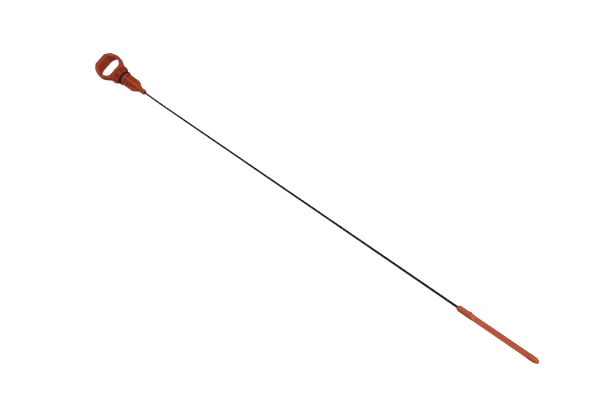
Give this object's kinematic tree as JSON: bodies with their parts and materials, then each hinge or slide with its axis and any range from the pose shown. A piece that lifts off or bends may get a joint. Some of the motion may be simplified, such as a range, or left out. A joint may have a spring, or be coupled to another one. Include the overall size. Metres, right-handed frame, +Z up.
{
  "type": "engine oil dipstick",
  "caption": "Engine oil dipstick: moulded finger pull with a flange and a sealed, ribbed plug, a thin coated cable, and a flat hatched gauge tip with a bullet end.",
  "frame": {"origin": "centre of the flange face that seats on the mouth of the guide tube", "axes": "+X along the stick towards the gauge tip, +Z up from the floor that the stick lies on; the handle noses down by 8.5 degrees, as it lies"},
  "size_m": [0.5012, 0.0282, 0.02],
  "materials": {
    "handle": "moulded orange nylon with a fine satin surface",
    "seal_ring": "black rubber, faintly shiny",
    "cable": "black plastic coating over a wire, satin",
    "gauge_tip": "moulded orange nylon, hatched on the flats"
  },
  "bodies": {
    "root": {"handle": "handle", "seal_ring": "seal_ring", "cable": "cable", "gauge_tip": "gauge_tip"}
  },
  "joints": []
}
